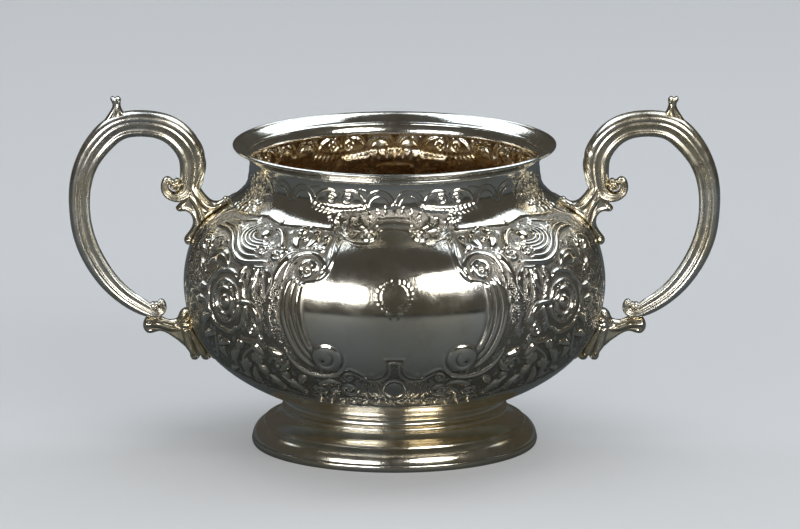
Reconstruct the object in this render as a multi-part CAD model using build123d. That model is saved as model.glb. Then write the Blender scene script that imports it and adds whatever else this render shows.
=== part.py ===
"""Two-handled silver sugar bowl: raised bowl, moulded foot, two cast scroll handles.

Units are millimetres. +Z is up, the bowl stands on Z = 0 with its axis on Z, and the
two handles lie in the XZ plane. Every solid is one separate piece of the real object;
pieces meet face to face where the silversmith soldered them.
"""
from build123d import *
import os

os.makedirs("parts", exist_ok=True)

# ---- driving dimensions -------------------------------------------------------------
WALL = 0.7                   # thickness of the raised silver sheet
SEAT_Z = 15.0                # height of the flat seat where the bowl meets the foot
SEAT_R = 35.2                # outer radius of that seat
LIP_R = 51.7                 # outer radius of the lip wire
LIP_Z = 97.5                 # top of the lip
LIP_WIRE = 1.1               # width and height of the lip wire
NECK_R = 46.3                # radius of the plain neck below the lip
FLARE_Z = 91.0               # height at which the neck begins to flare into the lip
NECK_WIRE_Z = 93.5           # bottom of the wire round the top of the neck
NECK_WIRE = 1.3              # height of that wire
FOOT_R = 45.8                # outer radius of the foot
FLANGE_H = 2.2               # height of the flat-edged wire the foot stands on
FLANGE_W = 1.6               # width of that wire
STEP_Z = 10.7                # height of the joint between foot collar and foot dome
COLLAR_BORE = 33.2           # inner radius of the foot collar
FOOT_WALL = 0.8              # thickness of the foot dome
HANDLE_DEPTH = 0.94          # front-to-back depth of the handle bar over its width

# Belly of the bowl, as (radius, height) from the foot seat up to the neck.
BELLY = [
    (36.1, 15.4), (46.5, 20.5), (56.7, 27.5), (64.2, 37.1), (67.3, 48.6),
    (67.5, 53.8), (65.6, 64.0), (61.2, 72.3), (51.8, 78.9), (47.0, 85.0), (NECK_R, 90.0),
]

# Handle bar, as (x, z, width) from the upper curl round to the lower curl.
BAR = [
    (71.2, 83.8, 2.2), (72.7, 85.3, 2.4), (73.4, 83.1, 2.6), (72.4, 80.9, 2.9),
    (70.0, 79.9, 3.3), (67.3, 80.6, 4.4), (65.5, 82.7, 6.2), (64.7, 85.9, 7.7),
    (64.5, 92.0, 8.6), (67.3, 97.9, 8.8), (72.5, 102.1, 8.7), (80.2, 103.7, 8.6),
    (88.1, 102.5, 8.7), (93.9, 97.7, 8.5), (97.9, 91.6, 7.6), (100.2, 84.4, 7.1),
    (100.7, 78.7, 6.8), (100.5, 73.9, 6.7), (99.5, 67.9, 6.8), (95.4, 58.1, 6.7),
    (92.1, 53.2, 6.4), (84.8, 46.3, 5.7), (81.2, 44.1, 5.3), (78.6, 42.7, 4.5),
    (76.3, 42.0, 3.5), (74.5, 43.0, 2.8), (74.4, 44.9, 2.4), (75.6, 46.1, 2.1),
]

# Moulded section of the bar in units of half its width and half its depth:
# a broad outer roll, a shallow groove, and a flatter inner roll.
BAR_SECTION = [
    (1.0, 0.0), (0.9, 0.52), (0.62, 0.9), (0.32, 0.86), (0.12, 0.74),
    (-0.12, 0.8), (-0.5, 0.74), (-0.86, 0.46),
]

UPPER_CURL = (69.8, 83.9)    # centre of the boss in the upper curl
UPPER_BOSS_R = 2.5
LOWER_CURL = (76.8, 44.0)    # centre of the boss in the lower curl
LOWER_BOSS_R = 2.1
UPPER_BOSS_DEPTH = 6.4       # front-to-back size of each boss
LOWER_BOSS_DEPTH = 5.0
BOSS_ROUND = 0.6             # rounding of the boss's edge
UPPER_ROUND = 0.6            # rounding of the upper brackets' edges
LOWER_ROUND = 0.8            # rounding of the lower brackets' edges
SPUR_ROUND = 1.0             # rounding of the thumb spurs' edges
REACH = 120.0                # how far the blanks for the cast mounts extend before trimming


def revolved(profile):
    """Turn a closed outline in the XZ plane into a solid of revolution about Z.

    The seam of the surface is turned to the back, away from the handles' mounts.
    """
    return Rot(0, 0, 90) * revolve(make_face(profile), Axis.Z)


def inward_offset(curve, distance, count):
    """Points at a constant distance to the left of a curve that runs up the outside."""
    points = []
    for step in range(count + 1):
        t = step / count
        along = curve % t
        points.append(curve @ t + Vector(-along.Z, 0, along.X) * distance)
    return points


def flat(points):
    """Place (x, z) pairs in the XZ plane."""
    return [Vector(x, 0, z) for x, z in points]


# ---- raised bowl --------------------------------------------------------------------
belly = Spline(*flat(BELLY), tangents=[(2.0, 0, 1.0), (0, 0, 1)])
flare_foot = Vector(NECK_R, 0, FLARE_Z)
wire_low = Vector(NECK_R + 0.45, 0, NECK_WIRE_Z)
wire_high = Vector(NECK_R + 0.95, 0, NECK_WIRE_Z + NECK_WIRE)
wire_lean = wire_high - wire_low
neck = Line(belly @ 1, flare_foot)
low_flare = Spline(flare_foot, wire_low, tangents=[(0, 0, 1), wire_lean])
wire_seat = Line(wire_low, wire_high)
lip_foot_r = LIP_R - LIP_WIRE
lip_under = Vector(lip_foot_r, 0, LIP_Z - LIP_WIRE + 0.15)
lip_over = Vector(lip_foot_r, 0, LIP_Z - 0.1)
flare = Spline(wire_high, lip_under, tangents=[wire_lean, (2.4, 0, 1.0)])
inner_belly = Spline(*inward_offset(belly, WALL, 24))
inner_neck_top = Vector(NECK_R - WALL, 0, FLARE_Z)
inner_flare = Spline(inner_neck_top, lip_over, tangents=[(0, 0, 1), (2.4, 0, 1.0)])
bottom_mid = 0.5 * COLLAR_BORE
bottom_outside = ThreePointArc(
    (0, 0, SEAT_Z - 1.4), (bottom_mid, 0, SEAT_Z - 1.05), (COLLAR_BORE - 0.6, 0, SEAT_Z)
)
bottom_inside = ThreePointArc(
    (0, 0, SEAT_Z - 1.4 + WALL), (bottom_mid, 0, SEAT_Z - 1.05 + WALL), inner_belly @ 0
)
bowl_body = revolved([
    bottom_outside,
    Line(bottom_outside @ 1, (SEAT_R, 0, SEAT_Z)),
    Line((SEAT_R, 0, SEAT_Z), belly @ 0),
    belly,
    neck,
    low_flare,
    wire_seat,
    flare,
    Line(lip_under, lip_over),
    inner_flare,
    Line(inner_neck_top, inner_belly @ 1),
    inner_belly,
    bottom_inside,
    Line(bottom_inside @ 0, bottom_outside @ 0),
])

# ---- applied wires ------------------------------------------------------------------
lip_low = Vector(lip_foot_r, 0, LIP_Z - LIP_WIRE)
lip_high = Vector(lip_foot_r, 0, LIP_Z)
lip_nose = Vector(LIP_WIRE / 2, 0, 0)
lip_wire = revolved([
    Line(lip_low, lip_high),
    Line(lip_high, lip_high + lip_nose),
    ThreePointArc(lip_high + lip_nose, (LIP_R, 0, LIP_Z - LIP_WIRE / 2), lip_low + lip_nose),
    Line(lip_low + lip_nose, lip_low),
])

wire_out = (wire_low + wire_high) / 2 + Vector(0.6, 0, -0.2)
neck_wire = revolved([
    wire_seat,
    ThreePointArc(wire_high, wire_out, wire_low),
])

# ---- moulded foot -------------------------------------------------------------------
collar_top = Vector(34.7, 0, SEAT_Z)
cove_end = Vector(35.3, 0, 12.3)
bead_end = Vector(35.7, 0, STEP_Z)
foot_collar = revolved([
    Line((COLLAR_BORE, 0, STEP_Z), (COLLAR_BORE, 0, SEAT_Z)),
    Line((COLLAR_BORE, 0, SEAT_Z), collar_top),
    ThreePointArc(collar_top, (34.45, 0, 13.6), cove_end),
    ThreePointArc(cove_end, (36.3, 0, 11.5), bead_end),
    Line(bead_end, (COLLAR_BORE, 0, STEP_Z)),
])

ledge_in = Vector(40.7, 0, 7.75)
ledge_out = Vector(41.7, 0, 7.55)
dome_start = Vector(41.9, 0, 6.95)
dome_end = Vector(FOOT_R - 0.2, 0, FLANGE_H)
skirt_in = dome_end - Vector(FOOT_WALL, 0, 0)
foot_cove = ThreePointArc(bead_end, (37.4, 0, 8.95), ledge_in)
foot_roll = ThreePointArc(dome_start, (44.6, 0, 4.75), dome_end)
foot_dome = revolved([
    foot_cove,
    Line(ledge_in, ledge_out),
    Line(ledge_out, dome_start),
    foot_roll,
    Line(dome_end, skirt_in),
    ThreePointArc(skirt_in, (43.7, 0, 4.3), (40.9, 0, 6.4)),
    ThreePointArc((40.9, 0, 6.4), (36.9, 0, 7.9), (34.6, 0, STEP_Z)),
    Line((34.6, 0, STEP_Z), bead_end),
])

flange_in = FOOT_R - FLANGE_W
foot_base_wire = revolved([
    Line((flange_in, 0, 0), (FOOT_R - 0.35, 0, 0)),
    ThreePointArc((FOOT_R - 0.35, 0, 0), (FOOT_R, 0, FLANGE_H / 2), (FOOT_R - 0.2, 0, FLANGE_H)),
    Line((FOOT_R - 0.2, 0, FLANGE_H), (flange_in, 0, FLANGE_H)),
    Line((flange_in, 0, FLANGE_H), (flange_in, 0, 0)),
])


# ---- right-hand handle, built at +X -------------------------------------------------
def bar_section(centre, along, width):
    """One moulded cross-section of the handle bar, square to its centre line."""
    across = Vector(along.Z, 0, -along.X)
    outline = []
    mirrored = [(u, -v) for u, v in reversed(BAR_SECTION[1:])]
    for u, v in BAR_SECTION + [(-1.0, 0.0)] + mirrored:
        depth = v * HANDLE_DEPTH
        outline.append(centre + (across * u + Vector(0, 1, 0) * depth) * (width / 2))
    return Wire(Spline(*outline, periodic=True))


def handle_bar():
    """The C-scroll bar: one skin through a section at every station, closed at both ends."""
    line = Spline(*[Vector(x, 0, z) for x, z, _ in BAR])
    sections = []
    for x, z, width in BAR:
        centre = Vector(x, 0, z)
        along = line.tangent_at(line.param_at_point(centre))
        sections.append(bar_section(centre, -along, width))
    return Solid.make_loft(sections)


def prism(points, direction):
    """A straight bar whose cross-section is the closed outline through the points."""
    face = make_face(points)
    return extrude(face, amount=REACH, dir=direction, both=True)


def plan_taper(half_depths):
    """A bar along Z whose front-to-back half depth is given along X as (x, half depth)."""
    front = Spline(*[Vector(x, -depth, 0) for x, depth in half_depths])
    rear = Spline(*[Vector(x, depth, 0) for x, depth in half_depths])
    ends = [Line(front @ 0, rear @ 0), Line(front @ 1, rear @ 1)]
    return prism([front, rear] + ends, (0, 0, 1))


def curl_boss(centre, radius, depth):
    """Turned button closing the eye of a curl, domed on both faces."""
    x, z = centre
    barrel = fillet(Cylinder(radius, depth, rotation=(90, 0, 0)).edges(), BOSS_ROUND)
    dome = Sphere(radius * 0.62)
    bulge = depth / 2 - radius * 0.35
    domes = Pos(0, bulge, 0) * dome + Pos(0, -bulge, 0) * dome
    return Pos(x, 0, z) * (barrel + domes)


def spur_blank():
    """Leaf-shaped thumb spur on top of the bar, waisted, with a flared tip."""
    inner = Spline(*flat([(85.0, 106.6), (86.6, 109.4), (86.9, 111.2), (87.5, 112.5)]))
    tip = ThreePointArc(inner @ 1, (89.0, 0, 112.8), (90.5, 0, 112.4))
    outer = Spline(*flat([(90.5, 112.4), (90.0, 110.6), (90.6, 107.9), (94.0, 102.8)]))
    side = prism([inner, tip, outer, Line(outer @ 1, inner @ 0)], (0, 1, 0))
    blank = side & plan_taper([(84.0, 2.6), (88.0, 2.2), (92.0, 2.3), (95.0, 1.2)])
    return fillet(blank.edges(), SPUR_ROUND)


def upper_bracket_blank():
    """Cast leaf mount from the upper curl to the shoulder, with two small spurs."""
    saddle = Spline(*flat([(63.6, 85.4), (61.0, 81.4), (57.4, 78.3), (54.5, 79.5)]))
    bump = ThreePointArc(saddle @ 1, (53.6, 0, 80.3), (52.6, 0, 79.9))
    root = Polyline(bump @ 1, (50.0, 0, 77.0), (60.6, 0, 64.4), (63.4, 0, 63.6))
    low_spur = ThreePointArc(root @ 1, (67.2, 0, 65.8), (66.1, 0, 68.2))
    hollow = Spline(*flat([(66.1, 68.2), (64.4, 70.8), (64.6, 73.4), (66.8, 75.2)]))
    high_spur = ThreePointArc(hollow @ 1, (69.9, 0, 75.9), (69.0, 0, 77.6))
    back = Polyline(high_spur @ 1, (67.0, 0, 79.6), (65.6, 0, 82.4), saddle @ 0)
    side = prism([saddle, bump, root, low_spur, hollow, high_spur, back], (0, 1, 0))
    depths = [(49.0, 1.6), (53.0, 2.2), (58.0, 4.0), (63.0, 3.9), (67.0, 2.5), (71.0, 1.9)]
    blank = side & plan_taper(depths)
    return fillet(blank.edges(), UPPER_ROUND)


def lower_bracket_blank():
    """Cast stem under the lower curl, spreading into a leaf on the belly."""
    shelf = Polyline((79.6, 0, 40.6), (74.4, 0, 40.8), (73.4, 0, 39.9), (69.5, 0, 39.9))
    heel = Spline(*flat([(69.5, 39.9), (69.3, 41.3), (68.3, 42.7), (66.6, 43.9)]))
    root = Polyline(heel @ 1, (63.0, 0, 43.9), (53.0, 0, 27.4), (64.8, 0, 27.4))
    toe = ThreePointArc(root @ 1, (65.7, 0, 27.7), (66.0, 0, 28.6))
    under = Spline(*flat([(66.0, 28.6), (67.6, 30.9), (71.0, 33.9), (75.4, 35.7), (79.0, 35.3)]))
    tip = ThreePointArc(under @ 1, (80.4, 0, 37.6), shelf @ 0)
    side = prism([shelf, heel, root, toe, under, tip], (0, 1, 0))
    depths = [(50.0, 6.6), (60.0, 6.4), (66.0, 4.6), (70.0, 2.7), (75.0, 2.2), (79.0, 2.8),
              (82.0, 2.4)]
    blank = side & plan_taper(depths)
    return fillet(blank.edges(), LOWER_ROUND)


bar = handle_bar()
bowl_filled = revolved([
    Line((0, 0, SEAT_Z), (SEAT_R, 0, SEAT_Z)),
    Line((SEAT_R, 0, SEAT_Z), belly @ 0),
    belly,
    neck,
    Line(flare_foot, (0, 0, FLARE_Z)),
    Line((0, 0, FLARE_Z), (0, 0, SEAT_Z)),
])

upper_bracket = upper_bracket_blank() - bar - bowl_filled
lower_bracket = lower_bracket_blank() - bar - bowl_filled
thumb_spur = spur_blank() - bar
upper_boss = curl_boss(UPPER_CURL, UPPER_BOSS_R, UPPER_BOSS_DEPTH) - bar
lower_boss = curl_boss(LOWER_CURL, LOWER_BOSS_R, LOWER_BOSS_DEPTH) - bar - lower_bracket
upper_bracket = upper_bracket - upper_boss

right_handle = {
    "scroll_bar": bar,
    "thumb_spur": thumb_spur,
    "upper_curl_boss": upper_boss,
    "lower_curl_boss": lower_boss,
    "upper_bracket": upper_bracket,
    "lower_bracket": lower_bracket,
}

# ---- one file per piece -------------------------------------------------------------
nodes = {
    "bowl_body": bowl_body,
    "lip_wire": lip_wire,
    "neck_wire": neck_wire,
    "foot_collar": foot_collar,
    "foot_dome": foot_dome,
    "foot_base_wire": foot_base_wire,
}
for name, solid in right_handle.items():
    nodes["right_" + name] = solid
    nodes["left_" + name] = mirror(solid, about=Plane.YZ)

for name, solid in nodes.items():
    solid.label = name
    export_step(solid, "parts/" + name + ".step")
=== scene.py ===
"""Visual model of the two-handled silver sugar bowl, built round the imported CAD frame.

The CAD pieces are replaced one for one by finer pieces of the same size: a raised and
chased bowl, turned foot and wires, and cast handles with leaf mounts. Lengths in the
tables are millimetres, and angles are degrees; Blender's own units are metres.
"""

import math

import bpy
import numpy as np
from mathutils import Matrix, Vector
from mathutils.geometry import delaunay_2d_cdt


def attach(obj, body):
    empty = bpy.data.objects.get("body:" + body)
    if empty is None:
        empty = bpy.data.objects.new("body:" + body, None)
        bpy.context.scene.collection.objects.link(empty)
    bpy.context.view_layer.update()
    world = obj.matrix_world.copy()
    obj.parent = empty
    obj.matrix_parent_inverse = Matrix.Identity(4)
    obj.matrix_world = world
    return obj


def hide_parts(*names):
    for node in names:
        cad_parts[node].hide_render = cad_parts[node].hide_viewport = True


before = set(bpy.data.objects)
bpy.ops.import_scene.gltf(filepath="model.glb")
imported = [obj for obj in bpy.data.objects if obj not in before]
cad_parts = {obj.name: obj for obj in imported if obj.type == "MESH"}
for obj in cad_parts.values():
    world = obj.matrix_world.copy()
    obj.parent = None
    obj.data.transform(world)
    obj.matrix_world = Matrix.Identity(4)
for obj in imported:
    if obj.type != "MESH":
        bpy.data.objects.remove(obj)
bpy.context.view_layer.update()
MM = 0.001

# ---- main sizes, the same as the CAD source's ---------------------------------------
WALL = 0.7
SEAT_Z = 15.0
SEAT_R = 35.2
NECK_R = 46.3
NECK_TOP_Z = 94.8
LIP_R = 51.7
LIP_Z = 97.5
FLARE_Z = 91.0               # height at which the neck begins to flare into the lip
LIP_WIRE = 1.1
FOOT_R = 45.8
FLANGE_H = 2.2
WAIST_Z = 53.8               # height of the widest part of the belly
GILT_SHADE_RUN = 16.0              # depth over which the gilding inside darkens into a painted shade
BELLY = [
    (36.1, 15.4), (46.5, 20.5), (56.7, 27.5), (64.2, 37.1), (67.3, 48.6),
    (67.5, 53.8), (65.6, 64.0), (61.2, 72.3), (51.8, 78.9), (47.0, 85.0), (NECK_R, 90.0),
]
BAR = [                      # x, z, width and front-to-back depth along the handle
    (71.2, 83.8, 2.2, 4.4), (72.7, 85.3, 2.4, 5.0), (73.4, 83.1, 2.6, 5.4),
    (72.4, 80.9, 2.9, 5.8), (70.0, 79.9, 3.3, 6.2), (67.3, 80.6, 4.4, 6.6),
    (65.5, 82.7, 6.2, 7.0), (64.7, 85.9, 7.7, 7.4), (64.5, 92.0, 8.6, 8.1),
    (67.3, 97.9, 8.8, 8.3), (72.5, 102.1, 8.7, 8.2), (80.2, 103.7, 8.6, 8.1),
    (88.1, 102.5, 8.7, 8.2), (93.9, 97.7, 8.5, 8.0), (97.9, 91.6, 7.6, 7.1),
    (100.2, 84.4, 7.1, 6.7), (100.7, 78.7, 6.8, 6.4), (100.5, 73.9, 6.7, 6.3),
    (99.5, 67.9, 6.8, 6.4), (95.4, 58.1, 6.7, 6.3), (92.1, 53.2, 6.4, 6.0),
    (84.8, 46.3, 5.7, 5.6), (81.2, 44.1, 5.3, 5.4), (78.6, 42.7, 4.5, 5.2),
    (76.3, 42.0, 3.5, 5.0), (74.5, 43.0, 2.8, 4.8), (74.4, 44.9, 2.4, 4.3),
    (75.6, 46.1, 2.1, 3.8),
]
UPPER_CURL = (69.8, 83.9)
LOWER_CURL = (76.8, 44.0)

COLUMNS = 1440               # mesh columns round the bowl
ROW_STEP = 0.28              # degrees between the mesh rows of the outer surface
CHART_CELL = 0.12            # degrees between the samples of the ornament's height
ORNAMENT_SCALE = 0.98        # size of the ornament on the bowl over its size in the tables
GROUND = 0.5                 # depth of the sunk ground between the chased ornament
SKIN = 0.012                 # how far the bowl's surface stays inside the CAD wall's
FILL_TRIES = 1500            # places tried for the small leaves on the ground
FILL_SHARE = 0.45            # share of the tries on the sunk ground that become leaves


# ---- curves -------------------------------------------------------------------------
def cubic_through(knots, count, start=None, end=None):
    """Smooth curve through points, by a cubic spline in chord length, as count points.

    start and end are the directions at its ends; without them the ends are free.
    """
    knots = np.asarray(knots, float)
    chord = np.hypot(*np.diff(knots[:, :2], axis=0).T)
    t = np.concatenate([[0], np.cumsum(chord)])
    n = len(knots)
    a = np.zeros((n, n))
    b = np.zeros_like(knots)
    for i in range(1, n - 1):
        h0, h1 = chord[i - 1], chord[i]
        a[i, i - 1:i + 2] = h1, 2 * (h0 + h1), h0
        b[i] = 3 * (h1 / h0 * (knots[i] - knots[i - 1]) + h0 / h1 * (knots[i + 1] - knots[i]))
    for row, near, direction in ((0, 1, start), (n - 1, n - 2, end)):
        a[row, row] = 1
        if direction is None:
            a[row, near] = 1
            b[row] = 2 * (knots[max(row, near)] - knots[min(row, near)]) / chord[min(row, near)]
        else:
            b[row] = np.asarray(direction, float) / np.hypot(*direction[:2])
    slope = np.linalg.solve(a, b)
    s = np.linspace(0, t[-1], count)
    i = np.clip(np.searchsorted(t, s) - 1, 0, n - 2)
    h = chord[i][:, None]
    u = ((s - t[i]) / chord[i])[:, None]
    return (
        (1 + 2 * u) * (1 - u) ** 2 * knots[i] + u * (1 - u) ** 2 * h * slope[i]
        + u * u * (3 - 2 * u) * knots[i + 1] + u * u * (u - 1) * h * slope[i + 1]
    )


def arc(first, middle, last, count=12):
    """Points of the circular arc through three points."""
    (ax, ay), (bx, by), (cx, cy) = first, middle, last
    d = 2 * (ax * (by - cy) + bx * (cy - ay) + cx * (ay - by))
    sa, sb, sc = ax * ax + ay * ay, bx * bx + by * by, cx * cx + cy * cy
    ox = (sa * (by - cy) + sb * (cy - ay) + sc * (ay - by)) / d
    oy = (sa * (cx - bx) + sb * (ax - cx) + sc * (bx - ax)) / d
    angles = np.unwrap([math.atan2(y - oy, x - ox) for x, y in (first, middle, last)])
    if (angles[1] - angles[0]) * (angles[2] - angles[1]) < 0:
        angles[2] = angles[0] - math.copysign(2 * math.pi, angles[2] - angles[0]) + (
            angles[2] - angles[0])
    swing = np.linspace(angles[0], angles[2], count)
    radius = math.hypot(ax - ox, ay - oy)
    return np.stack([ox + radius * np.cos(swing), oy + radius * np.sin(swing)], 1)


def spiral(centre, radius, start, turns, inner=0.2):
    """Points winding in round a centre, from an angle in degrees; turns < 0 is clockwise."""
    t = np.linspace(0, 1, max(4, int(abs(turns) * 14)))
    reach = radius * (1 - (1 - inner) * t)
    angle = np.radians(start + 360 * turns * t)
    return np.stack([centre[0] + reach * np.cos(angle), centre[1] + reach * np.sin(angle)], 1)


def off(place, length, angle):
    """The point at a distance from a place, at an angle in radians."""
    return place[0] + length * math.cos(angle), place[1] + length * math.sin(angle)


def oval_line(centre, half_width, half_height, low=0, high=360, count=36):
    """Points along an oval, or a part of it, between two angles in degrees."""
    sweep = np.radians(np.linspace(low, high, count))
    return np.stack([centre[0] + half_width * np.cos(sweep),
                     centre[1] + half_height * np.sin(sweep)], 1)


def within(ring, x, y):
    """Which of many places lie inside a closed ring of points."""
    inside = np.zeros(x.shape, bool)
    for (ax, ay), (bx, by) in zip(ring, np.roll(ring, -1, 0)):
        if ay != by:
            crosses = (ay > y) != (by > y)
            inside ^= crosses & (x < (bx - ax) * (y - ay) / (by - ay) + ax)
    return inside


def ripple(x, y, seed, scale=1.0):
    """Gentle repeatable unevenness between -1 and 1, with waves about scale wide."""
    rng = np.random.default_rng(seed)
    total = 0
    for _ in range(6):
        fx, fy, phase = rng.normal(0, 1 / scale), rng.normal(0, 1 / scale), rng.uniform(0, 6.3)
        total = total + np.sin(fx * x + fy * y + phase)
    return total / 6


# ---- ornament chart -----------------------------------------------------------------
class Chart:
    """Height of chased ornament, in millimetres, over a flat chart of a surface."""

    def __init__(self, low, high, cell):
        self.low = np.asarray(low, float)
        self.cell = cell
        self.x = np.arange(low[0], high[0] + cell, cell)
        self.y = np.arange(low[1], high[1] + cell, cell)
        self.raised = np.zeros((len(self.y), len(self.x)))
        self.sunk = np.zeros_like(self.raised)

    def window(self, low, high):
        """Slices of the cells between two corners."""
        i = np.clip(((np.asarray(low) - self.low) / self.cell).astype(int), 0, None)
        j = np.clip(((np.asarray(high) - self.low) / self.cell).astype(int) + 2, 0, None)
        return slice(i[1], j[1]), slice(i[0], j[0])

    def add(self, box, height, cut):
        """Raises what lies lower in a window to a height, or with cut sinks it to a depth."""
        field = self.sunk if cut else self.raised
        np.maximum(field[box], height, out=field[box])

    def stroke(self, points, width, rise, shape="round", ends=(0.3, 0.3), vein=0.0,
               smooth=True, cut=False, moat=0.0):
        """A tapering ridge along a line: width is its half width, or one for each end.

        ends are the shares of its length over which it tapers, and vein the depth of a
        groove down its middle as a share of its height. cut sinks it instead. moat is
        the width of a clear margin that it presses into what was raised before it.
        """
        line = np.asarray(points, float)
        if smooth and len(line) > 2:
            line = cubic_through(line, 7 * (len(line) - 1) + 1)
        widths = np.broadcast_to(width, (2,))
        reach = max(widths) + moat
        box = self.window(line.min(0) - reach, line.max(0) + reach)
        gx, gy = self.x[box[1]], self.y[box[0]]
        best = np.full((len(gy), len(gx)), reach * 1.01)
        where = np.zeros_like(best)
        for i in range(len(line) - 1):
            a, b = line[i], line[i + 1]
            low, high = np.minimum(a, b) - reach, np.maximum(a, b) + reach
            si = slice(*np.searchsorted(gx, (low[0], high[0])))
            sj = slice(*np.searchsorted(gy, (low[1], high[1])))
            dx, dy = gx[si][None, :] - a[0], gy[sj][:, None] - a[1]
            ab = b - a
            t = np.clip((dx * ab[0] + dy * ab[1]) / max(ab @ ab, 1e-9), 0, 1)
            d = np.hypot(dx - t * ab[0], dy - t * ab[1])
            closer = d < best[sj, si]
            best[sj, si] = np.where(closer, d, best[sj, si])
            where[sj, si] = np.where(closer, (i + t) / (len(line) - 1), where[sj, si])
        taper = np.ones_like(best)
        if ends[0]:
            taper *= np.clip(where / ends[0], 0.02, 1) ** 0.6
        if ends[1]:
            taper *= np.clip((1 - where) / ends[1], 0.02, 1) ** 0.6
        half = (widths[0] + (widths[-1] - widths[0]) * where) * taper
        u = np.clip(best / half, 0, 1)
        if shape == "round":
            height = 1 - u * u * (0.6 + 0.4 * u * u)
        else:
            height = (1 - u * u) ** 2
        height *= rise * taper ** 0.5
        if vein:
            height *= 1 - vein * np.exp(-(u / 0.22) ** 2)
        if moat:
            self.raised[box] *= np.clip((best - half) / moat, 0, 1) ** 2
        self.add(box, height, cut)

    def oval(self, centre, radius, squash=1.0):
        """The cells round a centre, and how far out each one is as a share of the radius."""
        size = np.array([radius, radius * squash])
        box = self.window(np.asarray(centre) - size, np.asarray(centre) + size)
        dx = (self.x[box[1]][None, :] - centre[0]) / size[0]
        dy = (self.y[box[0]][:, None] - centre[1]) / size[1]
        return box, np.hypot(dx, dy)

    def clear(self, centre, radius):
        """Presses the ground flat inside a circle."""
        box, out = self.oval(centre, radius)
        self.raised[box] *= np.clip(out * 6 - 5, 0, 1)

    def knob(self, centre, radius, rise, squash=1.0, cut=False, shape="round"):
        """A round or oval boss, or with cut a hollow."""
        box, out = self.oval(centre, radius, squash)
        u = np.clip(out * out, 0, 1)
        height = rise * (np.sqrt(1 - u) if shape == "round" else (1 - u) ** 2)
        self.add(box, height, cut)

    def volute(self, centre, radius, start, turns, width, rise):
        """A scroll that winds in to a small round eye."""
        self.clear(centre, radius + width * 1.3)
        self.stroke(spiral(centre, radius, start, turns, 0.5), (width, width * 0.6), rise,
                    ends=(0.12, 0.1), smooth=False)
        self.knob(centre, radius * 0.3, rise * 1.15)

    def leaf(self, base, tip, width, rise, bend=0.0, vein=0.35, moat=0.0):
        """A pointed leaf from base to tip, bowed sideways by bend of its length."""
        base, tip = np.asarray(base, float), np.asarray(tip, float)
        along = tip - base
        side = np.array([-along[1], along[0]]) * bend
        middle = base + along * 0.5 + side
        self.stroke([base, middle, tip], width, rise, ends=(0.45, 0.6), vein=vein, moat=moat)

    def fan(self, base, angles, length, width, rise, bend=0.12):
        """Leaves spreading from one point, at angles in degrees."""
        for angle in angles:
            tip = off(base, length, math.radians(angle))
            self.leaf(base, tip, width, rise, bend=bend)

    def flower(self, centre, radius, petals, rise, turn=0.0):
        """A floret: round petals with hollow middles about a small bead."""
        for k in range(petals):
            out = off(centre, radius, math.radians(turn + 360 * k / petals))
            inner = [0.8 * middle + 0.2 * end for middle, end in zip(centre, out)]
            self.stroke([inner, out], (radius * 0.25, radius * 0.5), rise, ends=(0.3, 0.1),
                        vein=0.45)
        self.knob(centre, radius * 0.32, rise * 1.1)

    def fill(self, outline, depth):
        """A field that is depth inside a closed outline and nothing outside it."""
        gx, gy = np.meshgrid(self.x, self.y)
        return np.where(within(np.asarray(outline, float), gx, gy), depth, 0.0)


def blurred(field, cells, passes=2):
    """The field averaged over squares of 2*cells+1 cells, several times."""
    for _ in range(passes):
        for axis in (0, 1):
            pad = [(cells + 1, cells) if k == axis else (0, 0) for k in (0, 1)]
            total = np.cumsum(np.pad(field, pad, mode="edge"), axis)
            far = np.take(total, range(2 * cells + 1, total.shape[axis]), axis)
            field = (far - np.take(total, range(far.shape[axis]), axis)) / (2 * cells + 1)
    return field


def sampled(field, chart, x, y):
    """The field at any places of the chart, between its samples."""
    fx = np.clip((x - chart.low[0]) / chart.cell, 0, field.shape[1] - 1.001)
    fy = np.clip((y - chart.low[1]) / chart.cell, 0, field.shape[0] - 1.001)
    i, j = fx.astype(int), fy.astype(int)
    u, v = fx - i, fy - j
    return (
        field[j, i] * (1 - u) * (1 - v) + field[j, i + 1] * u * (1 - v)
        + field[j + 1, i] * (1 - u) * v + field[j + 1, i + 1] * u * v
    )


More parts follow.
